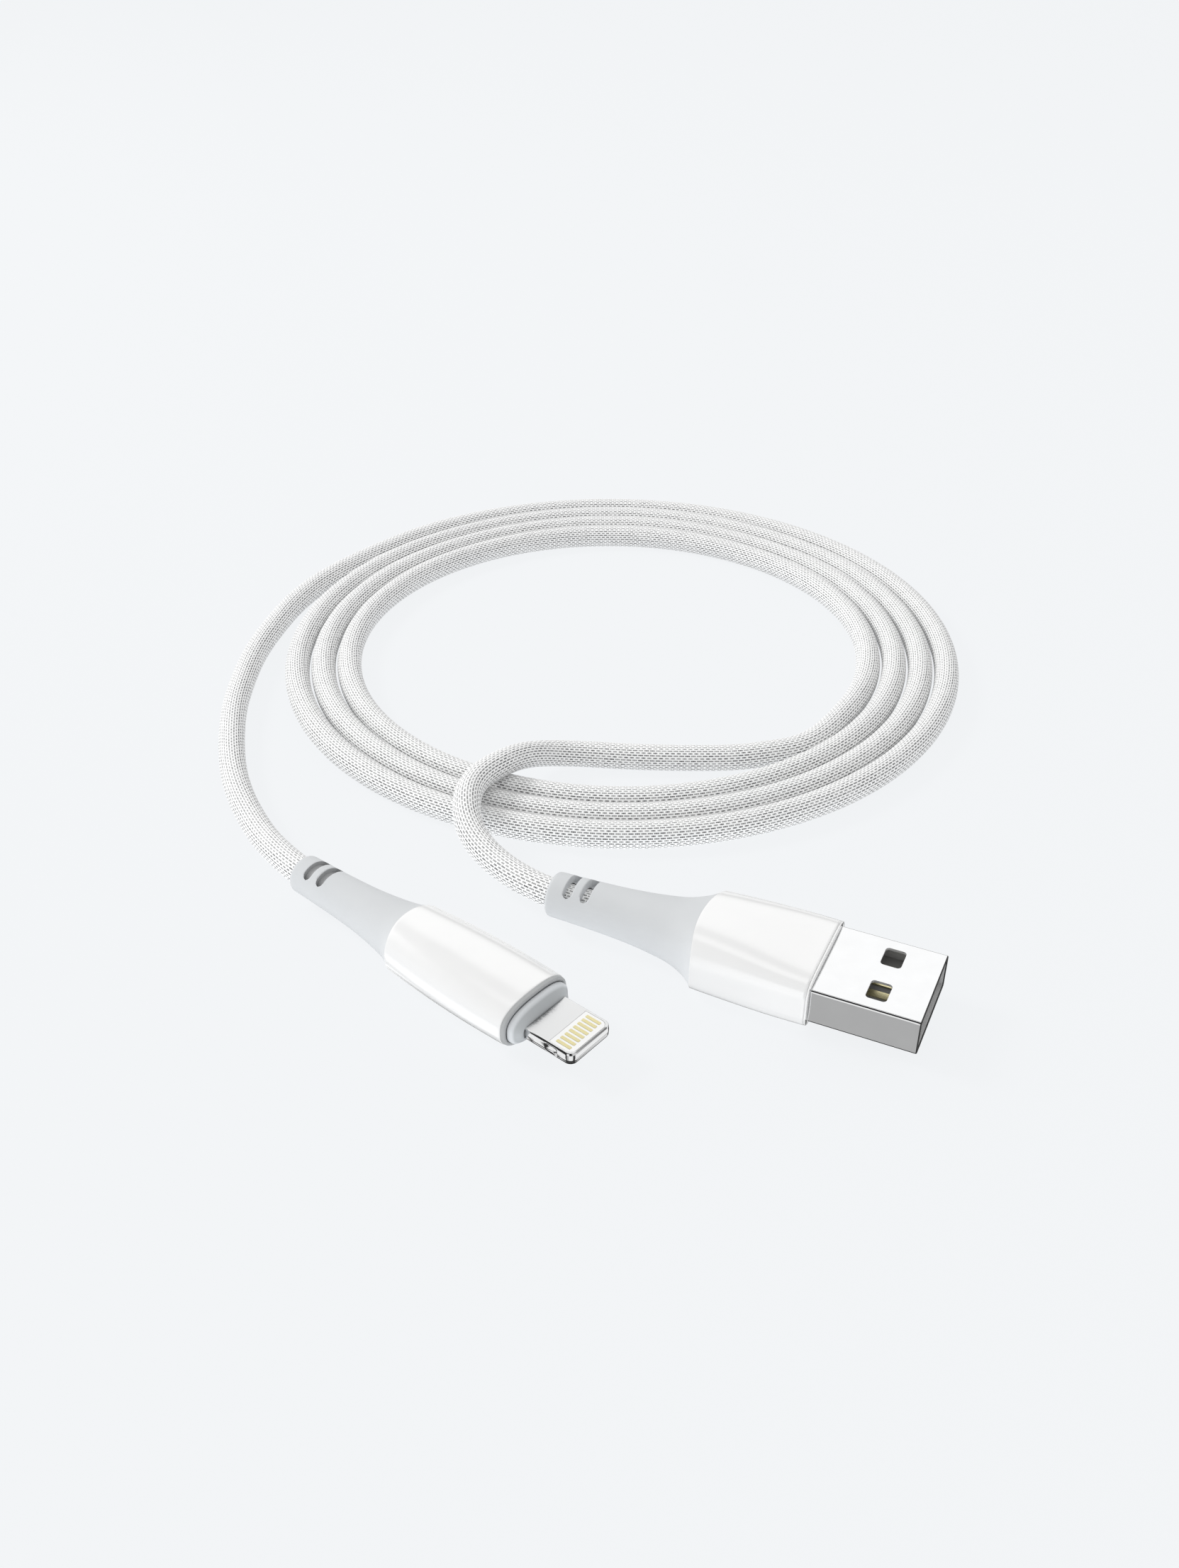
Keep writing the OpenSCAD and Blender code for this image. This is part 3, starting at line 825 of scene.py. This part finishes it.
phone_housing = make_cover(
    "phone_plug_housing", PHONE_HOUSING,
    [(PHONE_FRONT, 4.3, 2.1, 3), (PHONE_FRONT - 4, 4.35, 2.2, 3), (PHONE_FRONT - 14, 4.1, 2.45, 2.6),
     (PHONE_SEAM, 3.75, 2.55, 2.4)],
    (0.15, 0.05), "housing_white", PHONE_AXES, PHONE_SEAM, PHONE_BULGE,
)
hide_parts("phone_housing")
phone_relief = make_cover(
    "phone_plug_strain_relief", PHONE_RELIEF, relief_bore(PHONE_SEAM, PHONE_REAR),
    (0.04, 0.45), "relief_grey", PHONE_AXES, PHONE_SEAM, PHONE_BULGE,
)
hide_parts("phone_strain_relief")
cut_blind_slots(phone_relief, PHONE_AXES, PHONE_REAR, PHONE_SLOT_R)

# half width, half height and squareness: the collar's seat in the rim, the rim's pass for the tab
# and the collar's slot for it
COLLAR_SEAT = (4.72, 2.42, 2.7)
TAB_PASS = (3.4, 0.8, 30)
TAB_SLOT = (TAB_W / 2 + 0.01, TAB_T / 2 + 0.005, 12)
# [x, half width, half height] round the collar
COLLAR_SQUARENESS = 2.7
COLLAR_CROWN = [
    (0, 3.7, 1.1), (-0.12, 3.85, 1.32), (-0.26, 3.99, 1.55), (-0.40, 4.12, 1.74), (-0.53, 4.25, 1.90),
    (-0.61, 4.34, 2.0), (-0.68, 4.42, 2.08), (-0.74, 4.49, 2.16), (-0.80, 4.55, 2.23), (-0.87, 4.60, 2.29),
    (-0.95, 4.63, 2.325), (-1.05, 4.645, 2.345), (-1.2, 4.65, 2.35), (-COLLAR_L, 4.65, 2.35),
]
phone_rim = make_cover(
    "phone_plug_rim", [(-COLLAR_L, 5.08, 2.78, 2.7), (PHONE_FRONT, 5.15, 2.85, 2.7)],
    [(-COLLAR_L, *COLLAR_SEAT), (-COLLAR_L - 0.12, *COLLAR_SEAT),
     (-COLLAR_L - 0.14, *TAB_PASS), (PHONE_FRONT, *TAB_PASS)],
    (0.14, 0.02), "rim_grey", PHONE_AXES, step=0.1,
)
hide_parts("phone_rim")


def make_collar():
    """The raised collar, crowned towards the tab, which stands in its slot."""
    sections = [(x, w, h, COLLAR_SQUARENESS) for x, w, h in COLLAR_CROWN]
    sections += [(x, *TAB_SLOT) for x in (-COLLAR_L - 0.1, 0)]
    rings = [np.column_stack([np.full(SIDES, x), superellipse(w, h, squareness, SIDES)])
             for x, w, h, squareness in sections]
    faces = strip(len(rings), SIDES, close=True)
    collar = make_piece(
        "phone_plug_collar", np.concatenate(rings), faces, "collar_grey", "phone_collar", PHONE_AXES,
    )
    fix_normals(collar)
    return collar


phone_collar = make_collar()

# ---- the USB plug's steel shell ----

SHELL_EDGE = 0.27
SHELL_RIM = 0.14
CUT_EDGE_W = 0.13
WINDOW_L, WINDOW_W, WINDOW_CORNER = 2.35, 3.0, 0.45
WINDOW_X, WINDOW_Y = 6.68, 2.92


def rounded_outline(w, h, r, steps=7):
    """A rectangle w by h with its corners rounded by r, as (y, z) points."""
    points = []
    for cy, cz, start in ((1, 1, 0), (-1, 1, 90), (-1, -1, 180), (1, -1, 270)):
        for a in np.linspace(start, start + 90, steps):
            c, s = math.cos(math.radians(a)), math.sin(math.radians(a))
            points.append((cy * (w / 2 - r) + r * c, cz * (h / 2 - r) + r * s))
    return np.array(points)


def mark_shell_faces(shell):
    """Give the cut front edge, the lining and the windows' walls their own materials."""
    to_own = USB_AXES.inverted()
    lining_y, lining_z = SHELL_W / 2 - 0.8 * SHEET_T, SHELL_H / 2 - 0.8 * SHEET_T
    reach_x, reach_y = 0.52 * WINDOW_L, 0.52 * WINDOW_W
    for face in shell.data.polygons:
        at = to_own @ face.center / MM
        normal = to_own.to_3x3() @ face.normal
        facing_in = normal.y * at.y < -0.5 or normal.z * at.z < -0.5
        lining = facing_in and abs(at.y) < lining_y and abs(at.z) < lining_z
        in_window = abs(at.x - WINDOW_X) < reach_x and abs(abs(at.y) - WINDOW_Y) < reach_y
        window_wall = in_window and abs(normal.z) < 0.5 and abs(at.z) > SHELL_H / 2 - SHEET_T
        if at.x > SHELL_L - CUT_EDGE_W:
            face.material_index = 1
        elif lining or window_wall:
            face.material_index = 2


def make_shell():
    """Folded sheet steel with four windows and rounded rims."""
    curve = [(SHELL_L - SHELL_RIM * (1 - math.sin(a)), SHELL_RIM * (1 - math.cos(a)))
             for a in (0, 0.4, 0.8, 1.2, math.pi / 2)]
    stations = [(-SHELL_HIDDEN, 0)] + [(x, 0) for x in np.linspace(-4, SHELL_L - SHELL_RIM, 12)]
    stations += curve[1:]
    inner = [(x, SHEET_T - inset) for x, inset in curve[-2::-1]]
    inner += [(x, SHEET_T) for x in np.linspace(SHELL_L - 1, -SHELL_HIDDEN, 12)]
    rings = []
    for x, inset in stations + inner:
        r = max(0.05, SHELL_EDGE - inset * 0.8)
        outline = rounded_outline(SHELL_W - 2 * inset, SHELL_H - 2 * inset, r)
        rings.append(np.column_stack([np.full(len(outline), x), outline]))
    sides = len(rings[0])
    faces = strip(len(rings), sides, close=True)
    shell = make_piece("usb_plug_shell", np.concatenate(rings), faces, "plug_steel", "usb_shell", USB_AXES)
    fix_normals(shell)
    shell.data.materials.append(CUT_EDGE)
    shell.data.materials.append(SHELL_INSIDE)
    window = rounded_outline(WINDOW_L, WINDOW_W, WINDOW_CORNER)
    cutters = [prism(window + (WINDOW_X, y), z - 2 * SHEET_T, z + 2 * SHEET_T, USB_AXES)
               for y in (-WINDOW_Y, WINDOW_Y) for z in (-SHELL_H / 2, SHELL_H / 2)]
    cut(shell, cutters)
    mark_shell_faces(shell)
    keep_flat(shell, 0.5)
    return shell


make_shell()

# ---- the phone plug's tab ----

NOTCH_X, NOTCH_L, NOTCH_H, NOTCH_DEEP = 3.65, 1.9, 1.15, 0.14
TAB_CORNER = 0.95
TAB_EDGE, TAB_DROP, TAB_CROWN = 0.17, 0.40, 0.03
INSERT_X = (3.15, 6.25)
INSERT_W, INSERT_CORNER = 5.9, 0.8
INSERT_GAP, INSERT_BEVEL = 0.01, 0.03
PIN_X = (3.68, 5.65)
PIN_W, PIN_PITCH, PIN_COUNT = 0.43, 0.68, 8
PIN_CORNER, PIN_DEPTH, PIN_PROUD, PIN_BEVEL = 0.1, 0.2, 0.015, 0.02


def blade_outline(x0, x1, w, corner, steps=9, side_x=()):
    """A flat blade, (x, y), whose front corners are round; side_x adds points along its sides."""
    half = w / 2
    points = [(x0, -half)] + [(x, -half) for x in side_x]
    for a in np.linspace(-90, 0, steps):
        points.append((x1 - corner + corner * math.cos(math.radians(a)),
                       -half + corner + corner * math.sin(math.radians(a))))
    return np.array(points + [(x, -y) for x, y in points[::-1]])


def make_tab():
    """The chromed blade: rounded all round, with a shallow latch notch in each side."""
    notch = np.linspace(NOTCH_X - NOTCH_L / 2, NOTCH_X + NOTCH_L / 2, 17)
    outline = blade_outline(-TAB_HIDDEN, TAB_L, TAB_W, TAB_CORNER, 17, notch)
    n = len(outline)
    low = TAB_T / 2 - TAB_DROP
    rounds = [(low + TAB_DROP * math.sin(t), TAB_CROWN + TAB_EDGE * (1 - math.cos(t)))
              for t in np.linspace(0.15, math.pi / 2, 9)]
    levels = [(-z, inset) for z, inset in rounds[::-1]]
    levels += [(z, TAB_CROWN * (z / low) ** 2) for z in np.linspace(-low, low, 13)]
    levels += rounds
    normal = outline_normals(outline)
    along = np.clip(1 - ((outline[:, 0] - NOTCH_X) / (NOTCH_L / 2)) ** 2, 0, 1)
    along *= np.abs(normal[:, 1]) > 0.99
    verts = []
    for z, inset in levels:
        scoop = NOTCH_DEEP * along * max(0.0, 1 - (z / (NOTCH_H / 2)) ** 6)
        flat = outline - normal * (inset + scoop)[:, None]
        verts += [(x, y, z) for x, y in flat]
    faces = strip(len(levels), n)
    faces += [tuple(range(n))[::-1], tuple(range((len(levels) - 1) * n, len(levels) * n))]
    tab = make_piece("phone_plug_tab", verts, faces, "tab_steel", "phone_tab", PHONE_AXES)
    tab.data.materials.append(TAB_FACE)
    hole = prism(blade_outline(*INSERT_X, INSERT_W, INSERT_CORNER), -TAB_T, TAB_T, PHONE_AXES)
    cut(tab, [hole])
    for face in tab.data.polygons:
        if abs(face.normal.z) > 0.99:
            face.material_index = 1
    keep_flat(tab, 2)
    return tab


def outline_normals(outline):
    """Outward unit normals at the points of a counter-clockwise outline."""
    ahead = np.roll(outline, -1, 0) - outline
    ahead /= np.linalg.norm(ahead, axis=1)[:, None]
    tangent = ahead + np.roll(ahead, 1, 0)
    tangent /= np.linalg.norm(tangent, axis=1)[:, None]
    return np.stack([tangent[:, 1], -tangent[:, 0]], 1)


def make_insert():
    """The white insert that carries both rows of contacts, flush in the blade."""
    start, end = INSERT_X[0] + INSERT_GAP, INSERT_X[1] - INSERT_GAP
    outline = blade_outline(start, end, INSERT_W - 2 * INSERT_GAP, INSERT_CORNER)
    n = len(outline)
    top = [(TAB_T / 2 - INSERT_BEVEL, 0), (TAB_T / 2 - INSERT_GAP, INSERT_BEVEL)]
    levels = [(-z, inset) for z, inset in top[::-1]] + top
    normal = outline_normals(outline)
    verts = [(*(p - inset * d), z) for z, inset in levels for p, d in zip(outline, normal)]
    faces = strip(len(levels), n) + [tuple(range(n))[::-1], tuple(range(3 * n, 4 * n))]
    insert = make_piece("phone_plug_insert", verts, faces, "insert_white", "phone_insert", PHONE_AXES)
    keep_flat(insert, 2)
    return insert


def make_pins(name, node, side):
    """A row of eight flat contacts with rounded ends, just proud of the insert."""
    verts, faces = [], []
    outline = rounded_outline(PIN_X[1] - PIN_X[0], PIN_W, PIN_CORNER, 4)
    n = len(outline)
    z = side * TAB_T / 2
    levels = ((z - side * PIN_DEPTH, 0), (z, 0), (z + side * PIN_PROUD, PIN_BEVEL))
    normal = outline_normals(outline)
    for i in range(PIN_COUNT):
        base = len(verts)
        shift = ((PIN_X[0] + PIN_X[1]) / 2, (i - (PIN_COUNT - 1) / 2) * PIN_PITCH)
        verts += [(*(p - inset * d + shift), h) for h, inset in levels for p, d in zip(outline, normal)]
        loops = strip(3, n) + [tuple(range(n))[::-1], tuple(range(2 * n, 3 * n))]
        if side < 0:
            loops = [f[::-1] for f in loops]
        faces += [tuple(base + v for v in f) for f in loops]
    pins = make_piece(name, verts, faces, "pin_gold", node, PHONE_AXES)
    keep_flat(pins, 0.2)
    return pins


make_tab()
make_insert()
make_pins("phone_plug_contacts_top", "phone_contacts_top", 1)
make_pins("phone_plug_contacts_bottom", "phone_contacts_bottom", -1)

# ---- CAD nodes that keep their shape ----

SLOT_OF = {part["node"]: part["material_slot"] for part in RECORD["subparts"]}
for node, obj in NODES.items():
    obj.data.materials.clear()
    obj.data.materials.append(MATERIALS[SLOT_OF[node]])

# ---- floor, world and lights ----

FLOOR_HALF = 3.0
PALE = (0.896, 0.913, 0.930)
# grey levels that metal mirrors from below, round the compass: 0 and 1 are -X, 0.5 is +X
LOW_RING = [
    (0.0, 0.98), (0.056, 0.98), (0.080, 0.04), (0.112, 0.04), (0.134, 0.49), (0.172, 0.49), (0.196, 0.98),
    (0.315, 0.98), (0.345, 0.04), (0.40, 0.04), (0.437, 0.98), (0.57, 0.98), (0.606, 0.05), (0.70, 0.05),
    (0.74, 0.9), (0.94, 0.95), (0.952, 0.05), (0.965, 0.05), (0.98, 0.98), (1.0, 0.98),
]
# round the compass above the floor at the front: one lamp at the left, dark cloth beside it
FRONT_RING = [
    (0.0, 0.03), (0.11, 0.03), (0.135, 1.0), (0.19, 1.0), (0.215, 0.03), (0.29, 0.03), (0.33, 0.7),
    (0.46, 0.7), (0.50, 0.03), (0.56, 0.03), (0.60, 0.9), (0.90, 0.9), (0.94, 0.03), (1.0, 0.03),
]
TOP_RING = [(0.0, 0.02), (0.27, 0.02), (0.33, 0.6), (0.46, 0.6), (0.50, 0.02), (1.0, 0.02)]
# and by the height of the direction at the back: strips of dark between the lamps
BACK_RISE = [
    (0.0, 0.9), (0.10, 0.9), (0.18, 0.15), (0.26, 0.15), (0.34, 0.8), (0.46, 1.2), (0.74, 1.2), (0.79, 0.1),
    (0.86, 0.1), (0.91, 1.0), (1.0, 1.0),
]
DARK_CAP = Vector((-0.35, -0.25, 0.9)).normalized()
KEY_SIDE = Vector((-0.55, 0.35, 0.75)).normalized()


def make_floor():
    """A pale floor. Mirrored rays pass it, and see the studio that surrounds it."""
    mesh = bpy.data.meshes.new("floor")
    h = FLOOR_HALF
    mesh.from_pydata([(-h, -h, 0), (h, -h, 0), (h, h, 0), (-h, h, 0)], [], [(0, 1, 2, 3)])
    floor = bpy.data.objects.new("floor", mesh)
    bpy.context.scene.collection.objects.link(floor)
    material = bpy.data.materials.new("floor")
    material.use_nodes = True
    g = Graph(material.node_tree)
    matte = g.add("BsdfDiffuse", {"Color": (0.82, 0.83, 0.84)})
    glow = g.add("Emission", {"Color": PALE, "Strength": 1.0})
    seen = g.add("MixShader", {0: 0.93, 1: matte, 2: glow})
    across = g.add("SeparateXYZ", {0: g.add("TexCoord", output="Object")}).node.outputs[1]
    lift = g.add("Emission", {"Color": PALE, "Strength": g.step(across, 0.012, 0.04, 1.75, 1.15)})
    bounced = g.add("MixShader", {0: 0.8, 1: matte, 2: lift})
    path = g.add("LightPath").node
    lit = g.add("MixShader", {0: path.outputs["Is Camera Ray"], 1: bounced, 2: seen})
    clear = g.add("BsdfTransparent")
    shown = g.add("MixShader", {0: path.outputs["Is Glossy Ray"], 1: lit, 2: clear})
    g.add("OutputMaterial", {"Surface": shown})
    mesh.materials.append(material)


def make_world():
    """A soft studio, brightest at the upper left; metal mirrors its lamps and dark gaps."""
    world = bpy.data.worlds.new("studio")
    world.use_nodes = True
    bpy.context.scene.world = world
    g = Graph(world.node_tree)
    way = g.add("TexCoord", output="Generated")
    axis = g.add("SeparateXYZ", {0: way}).node.outputs
    compass = g.math("ADD", g.math("DIVIDE", g.math("ARCTAN2", axis[1], axis[0]), 2 * math.pi), 0.5)
    nadir = g.step(axis[2], -0.81, -0.76, 1.0, 0.0)
    low = g.mix(nadir, g.ramp(compass, LOW_RING), (0.04, 0.04, 0.04))
    band = g.math("MULTIPLY", g.step(axis[2], -0.735, -0.72), g.step(axis[2], -0.71, -0.695, 1.0, 0.0))
    line = g.math("MULTIPLY", band, g.step(compass, 0.45, 0.5))
    low = g.mix(line, low, (0.12, 0.12, 0.12))
    back = g.ramp(g.math("MAXIMUM", axis[2], 0.0), BACK_RISE)
    front = g.mix(g.step(axis[2], 0.45, 0.6), g.ramp(compass, FRONT_RING), g.ramp(compass, TOP_RING))
    high = g.mix(g.step(axis[1], -0.05, 0.25), front, back)
    cap = g.dot(way, tuple(DARK_CAP))
    high = g.mix(g.step(cap, 0.80, 0.90), high, (0.02, 0.02, 0.02))
    mirror = g.mix(g.step(axis[2], -0.55, -0.25), low, high)
    key = g.dot(way, tuple(KEY_SIDE))
    soft = g.mix(g.step(key, -0.6, 0.95), (0.73, 0.733, 0.74), (0.86, 0.86, 0.855))
    path = g.add("LightPath").node
    colour = g.mix(path.outputs["Is Glossy Ray"], soft, mirror)
    colour = g.mix(path.outputs["Is Camera Ray"], colour, PALE)
    background = g.add("Background", {"Color": colour, "Strength": 1.0})
    g.add("OutputWorld", {"Surface": background})


def make_area(name, at, size, power, aim=(0, 0.05, 0)):
    """A rectangular lamp that metal doesn't mirror."""
    data = bpy.data.lights.new(name, "AREA")
    data.shape = "RECTANGLE"
    data.size, data.size_y = size
    data.energy = power
    light = bpy.data.objects.new(name, data)
    light.location = at
    light.rotation_euler = (Vector(at) - Vector(aim)).to_track_quat("Z", "Y").to_euler()
    light.visible_glossy = False
    light.visible_camera = False
    bpy.context.scene.collection.objects.link(light)


make_floor()
make_world()
make_area("key", at=(-0.60, 0.25, 0.50), size=(0.2, 0.2), power=2.8)

bpy.context.scene.view_settings.view_transform = "Standard"
